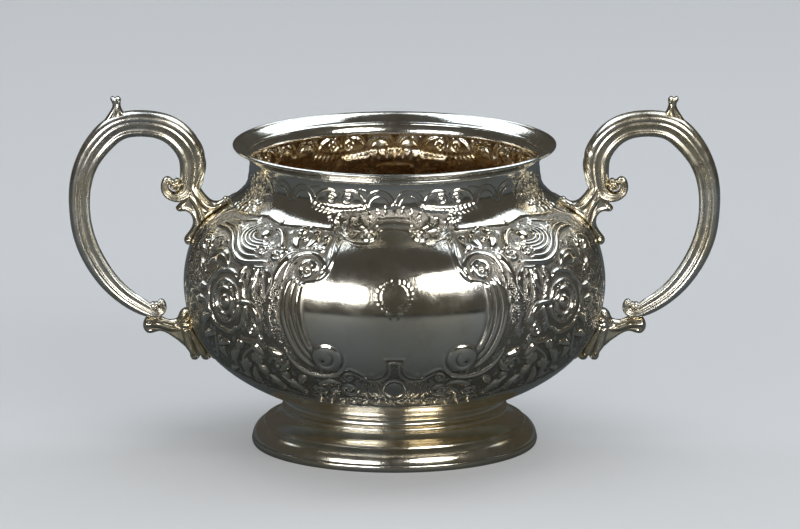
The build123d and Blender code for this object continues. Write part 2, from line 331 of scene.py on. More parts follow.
# ---- the bowl's ornament: one quarter, mirrored left to right and front to back ------
# A place is (angle round the bowl from the middle of the front, angle up its surface).
def neck_band(chart):
    """Double arches, paired volutes and floret swags round the neck."""
    for middle in (0, 45, 90):
        for side in (-1, 1):
            crown = middle + side * 6
            for half, top, width in ((5.9, 6.6, 0.42), (5.0, 5.6, 0.28), (3.9, 4.2, 0.38)):
                arch = oval_line((crown, 40.4), half, top, -8, 188, 22)
                chart.stroke(arch, width, 0.16, ends=(0.05, 0.05), smooth=False)
            chart.knob((crown, 41.2), 3.6, 0.14, squash=0.8, cut=True, shape="soft")
            pair = middle + side * 22.5
            eye = (pair - side * 3.3, 43.0)
            start = 180 if side > 0 else 0
            chart.volute(eye, 2.3, start, -1.2 * side, 0.42, 0.34)
            chart.stroke([(middle + side * 12, 40), (middle + side * 13.2, 44.2),
                          (middle + side * 16, 46.3), (pair - side * 1.4, 45.6)],
                         0.4, 0.3, ends=(0.1, 0.1))
            chart.stroke([(middle + side * 9, 46), (middle + side * 12, 47),
                          (middle + side * 16, 47.3)], 0.3, 0.2)
        chart.stroke([(middle, 39.8), (middle + 0.9, 41), (middle, 42.2), (middle - 0.9, 41),
                      (middle, 39.8)], 0.25, 0.25, smooth=False)
        chart.knob((middle, 41), 0.5, 0.3)
    for swag in (22.5, 67.5):
        for step in np.linspace(-11, 11, 12):
            dip = 38.7 + 0.012 * step * step
            chart.flower((swag + step, dip), 0.95, 5, 0.42, turn=step * 31)
            chart.leaf((swag + step, dip), (swag + step + 1.5, dip - 1.9), 0.5, 0.3)
        chart.flower((swag, 35.6), 1.9, 5, 0.5, turn=90)
        chart.fan((swag, 36.6), (200, 232, 270, 308, 340), 4.4, 0.75, 0.42)
        chart.stroke([(swag, 45.8), (swag, 42)], 0.3, 0.25)


def crest(chart):
    """Arched reeded bar over the cartouche, with its volutes and leaf tufts."""
    for x, y, tilt in ((-9, 37.2, 130), (-6.3, 38.3, 112), (-3.2, 38.8, 99), (0, 39, 90),
                       (3.2, 38.8, 81), (6.3, 38.3, 68), (9, 37.2, 50)):
        turn = math.radians(tilt)
        chart.leaf((x, y - 1.0), (x + 2.3 * math.cos(turn), y + 2.1 * math.sin(turn)), 1.0, 0.5)
    for base, tip, width, rise, bend in (
            ((9.5, 32.2), (13.5, 37.4), 1.5, 0.6, -0.2),
            ((10.5, 31), (17.4, 36.6), 1.5, 0.6, -0.22),
            ((11.5, 29.6), (20.2, 33.6), 1.5, 0.6, -0.22),
            ((12, 28.4), (20.6, 30.2), 1.3, 0.6, -0.12), ((12.2, 27), (19.4, 27.6), 1.0, 0.5, 0)):
        chart.leaf(base, tip, width, rise, bend=bend)
    chart.flower((14.6, 32.6), 1.9, 5, 0.65, turn=20)
    chart.flower((17.6, 31.4), 1.5, 5, 0.6)
    for half, low, middle, top, width, rise, end, moat in (
            (7.6, 34.6, 36.0, 36.5, 0.45, 0.5, 0.2, 0.3),
            (7.6, 32.4, 33.7, 34.1, 1.7, 1.25, 0.1, 0.5),
            (7.0, 30.4, 31.5, 31.8, 0.7, 0.6, 0.1, 0.2)):
        bar = [(-half, low), (-4, middle), (0, top), (4, middle), (half, low)]
        chart.stroke(bar, width, rise, ends=(end, end), moat=moat)
    chart.volute((8.8, 28.4), 3.1, 100, -1.35, 0.7, 0.85)


def cartouche(chart):
    """Frame of the plain shield: double line, side volutes, triple reeds and lower bosses."""
    chart.stroke([(8.8, 23.9), (12.5, 23.4), (15.5, 24.6), (17.8, 25.4)], 0.25, 0.12)
    chart.stroke([(17.8, 25.2), (18.1, 21), (17.8, 16)], 0.25, 0.12)
    chart.stroke([(21.6, 10.6), (21.0, 14.2), (22.6, 17.8), (26.4, 19.2), (30.2, 17.8),
                  (32.4, 13.8), (33.2, 8.4)], (0.95, 0.7), 0.75, ends=(0.1, 0.35), moat=0.7)
    reeds = (
        ((29.8, 11.6), (31.7, 6), (31.7, 0), (30.1, -6), (27.0, -11.6), (23.4, -15.2)),
        ((28.2, 11.6), (29.6, 6), (29.4, 0), (27.7, -6), (25.0, -10.8), (22.8, -13.4)),
        ((26.6, 11.0), (27.6, 6), (27.2, 0), (25.5, -6), (23.2, -10.2), (22.0, -12.0)),
    )
    for reed, width in zip(reeds, (1.12, 0.95, 0.9)):
        chart.stroke(reed, width, 1.0, ends=(0.1, 0.2), moat=0.25)
    chart.volute((26.0, 13.6), 3.1, 210, -1.3, 1.0, 1.0)
    chart.stroke([(8.4, 25.2), (10.6, 24.6), (13.4, 24.9), (15.6, 26.0), (17.4, 26.6),
                  (18.9, 26.9)], 0.55, 0.5, ends=(0.1, 0.05), moat=0.4)
    chart.stroke([(18.9, 27.0), (19.4, 25), (19.2, 21), (19.0, 16.5), (20.1, 12.8),
                  (22.6, 10.4)], 0.75, 0.55, ends=(0.05, 0.15), moat=0.6)
    chart.clear((19.2, -11.5), 5.4)
    chart.stroke([(14.2, -9.8), (14.3, -14.2), (17.4, -17.5), (22.2, -18.4), (26.8, -17.1),
                  (30.4, -13.6), (32.6, -9.0)], (0.6, 1.0), 0.8, ends=(0.3, 0.4), moat=0.4)
    chart.knob((19.2, -11.5), 4.2, 1.05, squash=1.02)
    chart.knob((20.4, -12.4), 1.2, 0.75, cut=True, shape="soft")
    chart.stroke(spiral((20.0, -11.9), 2.9, 120, 0.9), 0.6, 0.5, cut=True)
    lower = [(0, -11.1), (2.7, -11.1)], [(2.7, -11.1), (2.75, -14.0)], [
        (2.75, -14.0), (3.4, -16.6), (5.9, -18.1), (8.6, -17.3), (10.6, -15.6), (13.0, -14.7),
        (14.9, -15.4)]
    for line in lower:
        chart.stroke(line, 0.42, 0.42, ends=(0, 0))
    chart.stroke([(0, -12.7), (1.3, -12.7), (1.35, -15.2), (2.6, -18.3), (6.0, -19.7),
                  (9.4, -18.6), (11.4, -17.0), (13.4, -16.6)], 0.32, 0.36, ends=(0, 0.1))
    chart.volute((13.4, -18.3), 1.7, 150, -1.1, 0.45, 0.5)
    for turn in (-1, 1):
        for k in range(9):
            angle = math.radians(-76 + k * 18)
            x, y = turn * 4.0 * math.cos(angle), 7.0 + 3.9 * math.sin(angle)
            for tilt in (-42, 42):
                aim = angle + math.radians(90 + tilt)
                tip = (x + turn * 1.7 * math.cos(aim), y + 1.7 * math.sin(aim))
                chart.stroke([(x, y), tip], 0.3, 0.14, ends=(0.5, 0.4))
    for turn in (-1, 1):
        wreath = oval_line((0, 7.0), turn * 4.0, 3.9, -84, 84, 20)
        chart.stroke(wreath, 0.2, 0.05, ends=(0.05, 0.2), smooth=False, cut=True)
        chart.stroke([(0, 2.8), (turn * 1.0, 1.4), (turn * 0.6, 0.4)], 0.24, 0.07, cut=True)


def under_cartouche(chart):
    """Cabochon, petals and leaf tips below the shield."""
    chart.knob((0, -24.8), 3.1, 0.8, squash=1.5)
    chart.stroke(oval_line((0, -24.8), 3.9, 5.5), 0.42, 0.5, ends=(0, 0), smooth=False)
    for x, top, bottom in ((4.9, -20.0, -28.5), (6.8, -20.4, -29), (8.8, -19.8, -28.6),
                           (10.6, -19.2, -27)):
        chart.leaf((x, bottom), (x + 0.5, top), 0.95, 0.5, bend=-0.05, vein=0.3)
    chart.volute((14.4, -24.6), 2.9, 60, 1.3, 0.75, 0.62)
    chart.stroke([(15.8, -22.0), (18.8, -20.6), (22.6, -22.0), (24.8, -25.4)], (0.8, 1.1), 0.6)
    chart.volute((24.2, -25.6), 2.3, 80, -1.2, 0.7, 0.55)
    chart.leaf((12.6, -20.4), (16.6, -19.0), 0.8, 0.5)
    chart.leaf((17.8, -23.6), (20.6, -28.4), 1.1, 0.6, bend=0.15)
    for x, y, lean in ((1.6, -31.4, 0.2), (5.2, -31.6, 1.0), (9.4, -32.2, 1.4), (13.0, -31.6, 1.8),
                       (17.2, -32.6, 2.0), (21.4, -31.8, 2.2), (25.6, -31.6, 2.2)):
        chart.leaf((x, y + 1.8), (x + lean, y - 3.2), 1.25, 0.7, bend=0.1, vein=0.35)
        chart.knob((x + 2.0, y + 1.6), 0.85, 0.5)
    chart.stroke([(2, -30.2), (5, -29.2), (9, -30.2), (13, -29.0), (17, -30.2), (21, -29.0),
                  (26, -29.4)], 0.42, 0.4)


def side_scrolls(chart):
    """Acanthus scrolls, rosette and leaf sprays between the shield and the handle."""
    for half, drop in ((0.5, 0.0), (0.5, 1.3), (0.45, 2.6)):
        chart.stroke([(30.2, 19.2 - drop), (33.2, 18.2 - drop), (35.8 - 0.4 * drop, 13),
                      (38.3 - 0.7 * drop, 6.4)], half, 0.45, ends=(0.2, 0.3))
    chart.stroke([(35.2, -8), (37.0, -2), (37.2, 4), (36.2, 9)], 1.1, 0.2, shape="soft")
    for base, tip, width, bend in (
            ((28.4, 20.0), (22.8, 26.6), 2.1, 0.2), ((29.0, 20.6), (28.0, 29.0), 2.2, 0.15),
            ((31.6, 20.4), (33.4, 29.4), 2.4, -0.15), ((33.6, 18.6), (39.4, 23.6), 1.8, -0.2),
            ((25.4, 19.6), (22.2, 21.0), 1.3, 0.1)):
        chart.leaf(base, tip, width, 1.15, bend=bend, vein=0.25, moat=0.35)
    for x, y, size in ((23.4, 26.6, 1.5), (28.2, 28.6, 1.4), (33.8, 28.4, 1.8), (30.8, 25.0, 1.3)):
        chart.knob((x, y), size, 1.1)
    chart.stroke([(46, 26.6), (43, 27.2), (40.4, 25.4), (38.1, 21.8), (36.7, 18.6)],
                 (1.3, 0.9), 1.0, ends=(0.25, 0.2), moat=0.5)
    chart.volute((37.9, 17.0), 2.0, 110, 1.2, 0.65, 0.8)
    swirl = (
        ((40.0, 14.6), (46.0, 13.4), (51.4, 13.4), (55.6, 15.6), (59.2, 19.0), (63.4, 21.4),
         (69.0, 22.0), (75.4, 20.6)),
        ((41.8, 16.4), (46.6, 15.2), (51.0, 15.4), (54.4, 17.4), (57.8, 20.6), (62.6, 23.2),
         (68.6, 23.8), (74.4, 22.8)),
    )
    for line, width in zip(swirl, (1.0, 0.75)):
        chart.stroke(line, width, 1.0, ends=(0.15, 0.15), moat=0.5)
    for radius in (4.2, 5.9, 7.6, 9.2):
        shell = oval_line((47.6, 23.6), radius, 0.72 * radius, -150, 30, 24)
        chart.stroke(shell, 0.8, 0.95, ends=(0.3, 0.3), smooth=False, moat=0.2)
    chart.clear((47.2, 24.4), 3.4)
    chart.knob((47.2, 24.4), 2.4, 1.1)
    chart.volute((43.8, 17.4), 1.6, 30, 1.1, 0.55, 0.65)
    chart.stroke([(54.4, 29.0), (58.4, 29.2), (63.0, 27.4), (69.0, 26.4), (74, 26.8)],
                 (0.7, 0.5), 0.55)
    chart.leaf((60.6, 24.6), (66.4, 25.4), 1.0, 0.6)
    chart.volute((71.4, 15.2), 3.2, 130, 1.35, 0.9, 0.9)
    chart.stroke([(70.0, 18.2), (74.6, 17.8), (77.8, 14.6), (77.0, 10.6)], 0.7, 0.55)
    chart.stroke([(66.2, 19.2), (68.8, 14.6), (67.8, 10.2), (71.4, 6.4)], (0.8, 0.5), 0.6)
    chart.leaf((56.4, 10.4), (67.0, 9.0), 2.6, 0.9, bend=0.28, vein=0.2, moat=0.6)
    chart.stroke([(55.6, 10.2), (58.4, 14.2), (62.4, 14.2), (67.4, 8.4)], (0.8, 0.6), 0.9,
                 ends=(0.2, 0.3), moat=0.3)
    rosette(chart, (54.3, 0.8))
    for base_x, tip_x, tip_y, bend in ((40.2, 38.4, 5.6, -0.2), (42.4, 42.4, 2.8, 0.12),
                                       (44.8, 45.6, 4.2, -0.12), (47.2, 48.4, 5.8, 0.2)):
        chart.leaf((base_x, 12.2), (tip_x, tip_y), 1.25, 1.0, bend=bend, vein=0.3, moat=0.3)
    chart.stroke([(39.6, 12.8), (44, 12.2), (48.6, 12.6)], 0.5, 0.6)
    chart.stroke([(49.4, 0.6), (45.8, 1.9), (42.2, 0.8), (40.8, -2.2), (42.2, -5.2)],
                 (0.6, 0.9), 0.9, ends=(0.2, 0.2), moat=0.4)
    chart.volute((43.0, -5.6), 2.0, 60, 1.2, 0.65, 0.8)
    chart.stroke([(41.6, -8.4), (44.8, -9.6), (48.6, -8.4)], 0.7, 0.7, moat=0.3)


def rosette(chart, centre):
    """Large flower: a boss in a ring, soft petals, and a scalloped outer ring."""
    chart.clear(centre, 10.2)
    points = 73
    scallop = 8.4 + 0.5 * np.abs(np.sin(4.5 * np.radians(np.linspace(0, 360, points))))
    ring = oval_line(centre, scallop, scallop, count=points)
    chart.stroke(ring, 0.6, 0.75, ends=(0, 0), smooth=False)
    for k in range(7):
        angle = math.radians(360 / 7 * k + 12)
        petal = off(centre, 3.6, angle), off(centre, 6.0, angle)
        chart.stroke(petal, (1.4, 1.9), 0.8, ends=(0.1, 0.05), shape="soft")
    for radius, width, rise in ((5.9, 0.45, 0.75), (3.7, 0.6, 1.05)):
        ring = oval_line(centre, radius, radius, count=points)
        chart.stroke(ring, width, rise, ends=(0, 0), smooth=False, moat=0.25)
    chart.clear(centre, 2.9)
    chart.knob(centre, 2.0, 1.2)


def leaf_sprays(chart):
    """Leaves and florets over the lower half of the sides."""
    for base, tip, width, bend in (
        ((47, -9.4), (50.6, -13.6), 1.5, 0.1), ((45, -9.8), (40.2, -13.4), 1.5, -0.1),
        ((50, -13), (55.0, -19.2), 1.6, 0.15), ((47.8, -15.6), (51.0, -22.6), 1.5, 0.12),
        ((44, -16.6), (41.6, -22.0), 1.5, -0.12), ((46, -18.4), (48.4, -27.4), 1.3, 0.08),
        ((41.4, -20.4), (38.6, -27.8), 1.4, -0.12), ((36.4, -20.0), (30.4, -28.6), 1.4, -0.12),
        ((57.6, -9.6), (58.4, -17.6), 1.8, 0.12), ((38.0, -10.4), (33.2, -12.0), 1.2, 0.1),
        ((37.0, -15.6), (33.6, -21.2), 1.4, -0.1), ((53.6, -11.6), (60.6, -13.6), 1.1, 0.1),
        ((61.6, -4.6), (66.8, -8.6), 1.1, 0.15), ((63.6, 3.4), (70.4, 4.4), 1.1, -0.1),
        ((64.4, -1.0), (71.8, -1.8), 1.1, 0.1), ((66.6, 6.6), (73.6, 9.8), 1.2, 0.1),
        ((60.4, -10.0), (69.0, -13.0), 1.2, 0.1), ((55.4, -21.0), (62.0, -24.0), 1.1, 0.1),
        ((27.0, -19.0), (30.6, -23.6), 1.2, 0.12), ((31.8, -13.6), (36.4, -18.2), 1.2, -0.1),
        ((72.0, -3.4), (77.6, -6.4), 1.0, 0.1), ((70.6, 1.2), (77.0, 0.8), 1.0, -0.1),
    ):
        chart.leaf(base, tip, width * 1.1, 1.3, bend=bend, vein=0.25, moat=0.5)
    for centre, radius, petals in (((43.4, -14.8), 2.1, 6), ((35.2, -14.2), 1.6, 5),
                                   ((48.6, -17.6), 1.5, 5), ((41.0, -8.2), 1.4, 5),
                                   ((65.0, -4.8), 1.6, 5), ((68.6, 2.4), 1.6, 5),
                                   ((33.6, -24.6), 1.5, 5), ((53.0, -23.6), 1.3, 5)):
        chart.flower(centre, radius, petals, 0.8, turn=petals * 7)
    chart.stroke([(60.8, -8.6), (62.4, -14.6), (66.4, -18.8), (71.8, -19.6)], (0.7, 0.5), 0.6)
    chart.stroke([(38.6, -9.2), (44.4, -11.6), (50.2, -16.2), (52.8, -21.6), (50.4, -26.4)],
                 0.4, 0.42)
    chart.stroke([(45.6, -22.4), (40.6, -25.2), (35.0, -29.6), (28.6, -30.4)], 0.4, 0.42)


def small_fill(chart):
    """Small leaves strewn over the sunk ground, and closer on the neck by the handles."""
    rng = np.random.default_rng(7)
    for _ in range(FILL_TRIES):
        x, y = rng.uniform(4, 84), rng.uniform(-33, 46)
        aim, length = rng.uniform(0, 2 * math.pi), rng.uniform(1.5, 3.0)
        j, i = int((y - chart.low[1]) / chart.cell), int((x - chart.low[0]) / chart.cell)
        on_neck = 29 < y < 46 and x > 57 + 0.4 * (46 - y)
        tip = off((x, y), length, aim)
        if on_neck:
            chart.leaf((x, y), tip, 0.6, 0.3, bend=rng.uniform(-0.3, 0.3), vein=0.3)
        elif sunk_ground[j, i] > 0.3 and rng.uniform() < FILL_SHARE:
            chart.leaf((x, y), tip, 0.8, 0.3, bend=rng.uniform(-0.3, 0.3), vein=0.2)


SIDE_GROUND = [
    (20.4, 27.6), (22, 30), (34, 30), (44, 29.4), (54, 31.4), (66, 29.4), (78, 29), (83, 24),
    (84, 2), (83, -14), (76, -22), (64, -25), (52, -29), (38, -31.5), (24, -34.6), (10, -36),
    (-2, -36), (-2, -11.2), (2.6, -11.2), (2.8, -15), (5.6, -18), (9, -17), (13, -14.8), (15, -16),
    (22, -16), (24.6, -10), (27.2, -3), (28, 4), (26.4, 10.4), (22.6, 11), (20.6, 16), (20.8, 22),
]
CREST_GROUND = [
    (-2, 31.2), (6.6, 31.0), (10.8, 31.6), (11.6, 27), (13.6, 25.6), (19, 27.2), (22, 28.6),
    (23, 33), (21, 37.6), (12, 38.4), (8, 40), (-2, 40.2),
]

chart = Chart((-12, -58), (102, 52), CHART_CELL)
sunk_ground = blurred(
    np.maximum(chart.fill(SIDE_GROUND, GROUND), chart.fill(CREST_GROUND, GROUND)), 4)
for draw in (small_fill, neck_band, leaf_sprays, side_scrolls, under_cartouche, cartouche,
             crest):
    draw(chart)
relief = blurred(chart.raised - chart.sunk, 1, 2) - sunk_ground
hollow = relief - blurred(relief, 9)
worked = blurred(np.clip(sunk_ground / GROUND, 0, 1) * np.clip(1 - chart.raised / 0.35, 0, 1), 1)


# ---- mesh building ------------------------------------------------------------------
def make_mesh(name, points, faces, attributes=None):
    """A smooth-shaded object from arrays, in metres; faces is a list of index arrays."""
    mesh = bpy.data.meshes.new(name)
    mesh.vertices.add(len(points))
    mesh.vertices.foreach_set("co", (np.asarray(points) * MM).astype(np.float32).ravel())
    loops = np.concatenate([np.asarray(block).ravel() for block in faces])
    counts = np.concatenate([np.full(len(block), block.shape[1]) for block in faces])
    mesh.loops.add(len(loops))
    mesh.loops.foreach_set("vertex_index", loops.astype(np.int32))
    mesh.polygons.add(len(counts))
    starts = np.concatenate([[0], np.cumsum(counts)[:-1]])
    mesh.polygons.foreach_set("loop_start", starts.astype(np.int32))
    mesh.update(calc_edges=True)
    mesh.shade_smooth()
    for key, values in (attributes or {}).items():
        layer = mesh.attributes.new(key, "FLOAT", "POINT")
        layer.data.foreach_set("value", values.astype(np.float32).ravel())
    piece = bpy.data.objects.new(name, mesh)
    bpy.context.scene.collection.objects.link(piece)
    return piece


def ring_faces(rows, columns, closed_rows=False):
    """Quads joining the rows of a grid whose columns go all the way round."""
    index = np.arange(rows * columns).reshape(rows, columns)
    turned = np.roll(index, -1, 1)
    above = np.roll(index, -1, 0), np.roll(turned, -1, 0)
    last = rows if closed_rows else rows - 1
    return np.stack([index[:last], turned[:last], above[1][:last], above[0][:last]],
                    -1).reshape(-1, 4)


def around(profile, theta):
    """Grid of points: a profile of (radius, height) rows turned to every angle."""
    r, z = profile[:, 0:1], profile[:, 1:2]
    angle = np.radians(theta)[None, :]
    return np.stack([r * np.sin(angle), -r * np.cos(angle), z + 0 * angle], -1)


def lathe(name, profile, columns, wobble=0.0004):
    """A turned ring from a closed profile, uneven by a share wobble of its radius."""
    profile = np.asarray(profile, float)
    theta = np.arange(columns) * 360 / columns
    points = around(profile, theta)
    shake = 1 + wobble * (ripple(theta * 0.11, theta * 0, 3)[None, :, None] - 1)
    points[..., :2] *= shake
    return make_mesh(name, points.reshape(-1, 3), [ring_faces(len(profile), columns, True)])


# ---- materials ----------------------------------------------------------------------
class Look:
    """A metal material put together node by node."""

    def __init__(self, name):
        self.material = bpy.data.materials.new(name)
        self.material.use_nodes = True
        self.tree = self.material.node_tree
        self.shader = self.tree.nodes["Principled BSDF"]
        self.shader.inputs["Metallic"].default_value = 1.0
        self.place = self.node("ShaderNodeTexCoord").outputs["Object"]

    def node(self, kind, **settings):
        made = self.tree.nodes.new(kind)
        for key, value in settings.items():
            setattr(made, key, value)
        return made

    def join(self, source, target):
        if isinstance(source, (int, float, tuple)):
            target.default_value = source
        else:
            self.tree.links.new(source, target)

    def noise(self, scale, detail=4.0, rough=0.55, stretch=None):
        """Cloudy noise from 0 to 1 at a scale in waves per metre."""
        made = self.node("ShaderNodeTexNoise")
        made.inputs["Scale"].default_value = scale
        made.inputs["Detail"].default_value = detail
        made.inputs["Roughness"].default_value = rough
        source = self.place
        if stretch:
            turned = self.node("ShaderNodeMapping")
            turned.inputs["Scale"].default_value = stretch
            self.join(source, turned.inputs["Vector"])
            source = turned.outputs["Vector"]
        self.join(source, made.inputs["Vector"])
        return made.outputs["Fac"]

    def spots(self, scale):
        made = self.node("ShaderNodeTexVoronoi")
        made.inputs["Scale"].default_value = scale
        self.join(self.place, made.inputs["Vector"])
        return made.outputs["Distance"]

    def attribute(self, name):
        return self.node("ShaderNodeAttribute", attribute_name=name).outputs["Fac"]

    def ranged(self, value, low, high, to_low=0.0, to_high=1.0):
        """Value from low to high turned into to_low to to_high, and held there."""
        made = self.node("ShaderNodeMapRange", interpolation_type="SMOOTHSTEP")
        for key, number in (("From Min", low), ("From Max", high), ("To Min", to_low),
                            ("To Max", to_high)):
            made.inputs[key].default_value = number
        self.join(value, made.inputs["Value"])
        return made.outputs["Result"]

    def sum(self, first, second, operation="ADD"):
        made = self.node("ShaderNodeMath", operation=operation)
        self.join(first, made.inputs[0])
        self.join(second, made.inputs[1])
        return made.outputs[0]

    def mix(self, share, first, second):
        made = self.node("ShaderNodeMix", data_type="RGBA")
        self.join(share, made.inputs["Factor"])
        self.join(first, made.inputs[6])
        self.join(second, made.inputs[7])
        return made.outputs[2]

    def bump(self, height, distance, strength, below=None):
        made = self.node("ShaderNodeBump")
        made.inputs["Distance"].default_value = distance
        self.join(strength, made.inputs["Strength"])
        self.join(height, made.inputs["Height"])
        if below:
            self.join(below, made.inputs["Normal"])
        return made.outputs["Normal"]


BRIGHT = (0.86, 0.85, 0.81, 1)
WARM = (0.80, 0.67, 0.41, 1)
DARK = (0.12, 0.105, 0.08, 1)
STAIN = (0.42, 0.38, 0.31, 1)
SMOKE = (0.28, 0.25, 0.205, 1)
GILT = (0.72, 0.59, 0.35, 1)
# gilt in painted shade: the darker colour the gilding takes deep inside the bowl
GILT_IN_PAINTED_SHADE = (0.48, 0.30, 0.12, 1)


def silver(name, warmth=0.3, roughness=0.13, dull=0.5, dents=0.5, hollows=True):
    """Old polished silver: warm lacquer tints, dark hollows, fine scratches, soft dents."""
    look = Look(name)
    clouds = look.noise(28, 5.0)
    tint = look.mix(look.ranged(clouds, 0.36, 0.64, warmth * 0.2, warmth), BRIGHT, WARM)
    stain = look.ranged(look.noise(75, 6.0, 0.7), 0.5, 0.78, 0.0, dull)
    tint = look.mix(stain, tint, STAIN)
    rough = look.ranged(look.noise(190, 5.0, 0.65), 0.3, 0.75, roughness, roughness * 1.9)
    if hollows:
        dark = look.ranged(look.attribute("hollow"), -0.02, -0.34, 0.0, 0.92)
        tint = look.mix(dark, tint, DARK)
        rough = look.sum(rough, look.ranged(look.attribute("hollow"), 0.0, -0.3, 0.0, 0.25))
    look.join(tint, look.shader.inputs["Base Color"])
    look.join(rough, look.shader.inputs["Roughness"])
    slow = look.bump(look.noise(34, 2.0), 0.004, dents * 0.12)
    lines = look.noise(900, 4.0, 0.6, stretch=(1.0, 1.0, 0.12))
    look.join(look.bump(lines, 0.0004, 0.10, slow), look.shader.inputs["Normal"])
    return look


def chased_silver(name):
    """The bowl's silver: punched ground in the hollows and gilding inside, darkened deeper down by
    painted shade.
    """
    look = silver(name, warmth=0.42, roughness=0.09, dull=0.42, dents=0.3)
    shader = look.shader
    tint = shader.inputs["Base Color"].links[0].from_socket
    rough = shader.inputs["Roughness"].links[0].from_socket
    normal = shader.inputs["Normal"].links[0].from_socket
    worked_share = look.attribute("worked")
    smoky = look.ranged(worked_share, 0.2, 0.9, 0.0, 0.7)
    tint = look.mix(smoky, tint, SMOKE)
    gilt_and_shade = look.attribute("gilt_and_shade")
    patchy = look.sum(look.ranged(gilt_and_shade, 0.0, 0.15), look.ranged(
        look.noise(160, 5.0, 0.7), 0.30, 0.62, 0.3, 0.95), "MULTIPLY")
    # deeper inside the bowl the gilding is mixed towards a darker painted shade
    tint = look.mix(patchy, tint, look.mix(look.ranged(gilt_and_shade, 0.1, 0.8), GILT, GILT_IN_PAINTED_SHADE))
    look.join(tint, shader.inputs["Base Color"])
    rough = look.sum(rough, look.ranged(worked_share, 0.0, 1.0, 0.0, 0.10))
    look.join(look.sum(rough, look.ranged(gilt_and_shade, 0.0, 0.3, 0.0, 0.12)), shader.inputs["Roughness"])
    punches = look.spots(2000)
    depth = look.ranged(look.sum(worked_share, gilt_and_shade, "MAXIMUM"), 0.2, 0.9, 0.0, 0.5)
    look.join(look.bump(punches, 0.0005, depth, normal), shader.inputs["Normal"])
    return look.material


def fit(piece, node, material):
    """Puts a finished piece in the place of its CAD node."""
    piece.data.materials.append(material)
    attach(piece, "root")
    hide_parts(node)


# ---- bowl ---------------------------------------------------------------------------
belly = cubic_through(BELLY, 1200, start=(2, 1), end=(0, 1))
wire_low = (NECK_R + 0.45, 93.5)
wire_high = (NECK_R + 0.95, NECK_TOP_Z)
low_flare = cubic_through([(NECK_R, FLARE_Z), wire_low], 30, start=(0, 1), end=(0.5, 1.3))
outline = np.concatenate([belly, low_flare, [wire_high]])
step = np.hypot(*np.diff(outline, axis=0).T)
mid_r = (outline[1:, 0] + outline[:-1, 0]) / 2
climb = np.degrees(np.concatenate([[0], np.cumsum(step / mid_r)]))
climb -= np.interp(WAIST_Z, outline[:, 1], climb)


def wall_rows(rows):
    """Places and outward directions of the wall at angles up its surface."""
    r, z = (np.interp(rows, climb, outline[:, k]) for k in (0, 1))
    ahead = [np.interp(rows + d, climb, outline[:, k]) for d in (-0.4, 0.4) for k in (0, 1)]
    along = np.stack([ahead[2] - ahead[0], ahead[3] - ahead[1]], 1)
    along /= np.hypot(*along.T)[:, None]
    return np.stack([r, z], 1), np.stack([along[:, 1], -along[:, 0]], 1)


def chased_rows(rows, theta, inset):
    """Points of the chased wall, sunk in by inset, with their ornament attributes.

    Punching from outside leaves rounder, deeper marks on the inner face of the neck.
    """
    place, out = wall_rows(rows)
    across, up = np.meshgrid(theta, rows)
    uneven = 0.22 * ripple(across * 0.21, up * 0.21, 11)
    folded = np.abs((across + uneven + 90) % 180 - 90) / ORNAMENT_SCALE
    up = up / ORNAMENT_SCALE + 0.18 * ripple(across * 0.17, up * 0.2, 12)
    lift = sampled(relief, chart, folded, up)
    if inset:
        punched = np.interp(rows, [34, 38], [1.0, 3.2])[:, None]
        lift = np.minimum(lift * punched, lift + inset * 0.6)
    lift -= inset + SKIN
    profile = place[:, None, :] + out[:, None, :] * lift[..., None]
    angle = np.radians(across)
    points = np.stack([profile[..., 0] * np.sin(angle), -profile[..., 0] * np.cos(angle),
                       profile[..., 1]], -1)
    return points, sampled(hollow, chart, folded, up), sampled(worked, chart, folded, up)


def plain_rows(profile, theta):
    points = around(np.asarray(profile, float), theta)
    return points, np.zeros(points.shape[:2]), np.zeros(points.shape[:2])


def make_bowl():
    """The raised bowl as one closed sheet, from the middle of the base up, over and in."""
    theta = np.arange(COLUMNS) * 360 / COLUMNS
    outside = np.arange(climb[0], climb[-1], ROW_STEP)
    inside_top = np.interp(FLARE_Z, outline[:, 1], climb) - ROW_STEP
    inside = np.arange(inside_top, climb[0] + 0.6, -2 * ROW_STEP)
    lip_r = LIP_R - LIP_WIRE
    under = arc((0.4, SEAT_Z - 1.4), (16.6, SEAT_Z - 1.05), (32.6, SEAT_Z), 16)
    flare = cubic_through([wire_high, (lip_r, LIP_Z - LIP_WIRE + 0.15)], 10,
                          start=(0.5, 1.3), end=(2.4, 1))
    back = cubic_through([(NECK_R - WALL, FLARE_Z), (lip_r, LIP_Z - 0.1)], 24,
                         start=(0, 1), end=(2.4, 1))[::-1]
    floor_rows = arc((0.4, SEAT_Z - 1.4 + WALL), (16.6, SEAT_Z - 1.05 + WALL),
                     (35.6, SEAT_Z + 1.1), 16)[::-1]
    parts = [
        plain_rows(np.concatenate([under, [(SEAT_R, SEAT_Z), (36.0, 15.35)]]), theta),
        chased_rows(outside, theta, 0.0),
        plain_rows(flare, theta),
        plain_rows(back, theta),
        chased_rows(inside, theta, WALL),
        plain_rows(floor_rows, theta),
    ]
    points, hollows, workeds = (np.concatenate([part[k] for part in parts]) for k in range(3))
    rows = len(points)
    inner_start = sum(len(part[0]) for part in parts[:3])
    gilt_and_shade = np.zeros((rows, COLUMNS))
    height = points[inner_start:, :, 2]
    # this attribute marks the gilded inside and how far below its edge a place lies; that depth
    # drives a painted shade
    edge = 90.9 + 0.8 * ripple(theta * 0.4, theta * 0, 5)[None, :]
    gilt_and_shade[inner_start:] = np.clip((edge - height) / GILT_SHADE_RUN, 0, 1)
    hollows[inner_start:] *= -0.6
    faces = [
        ring_faces(rows, COLUMNS),
        np.arange(COLUMNS)[None, ::-1],
        np.arange((rows - 1) * COLUMNS, rows * COLUMNS)[None, :],
    ]
    return make_mesh("bowl_body_chased", points.reshape(-1, 3), faces,
                     {"hollow": hollows, "worked": workeds, "gilt_and_shade": gilt_and_shade})


fit(make_bowl(), "bowl_body", chased_silver("chased_silver"))

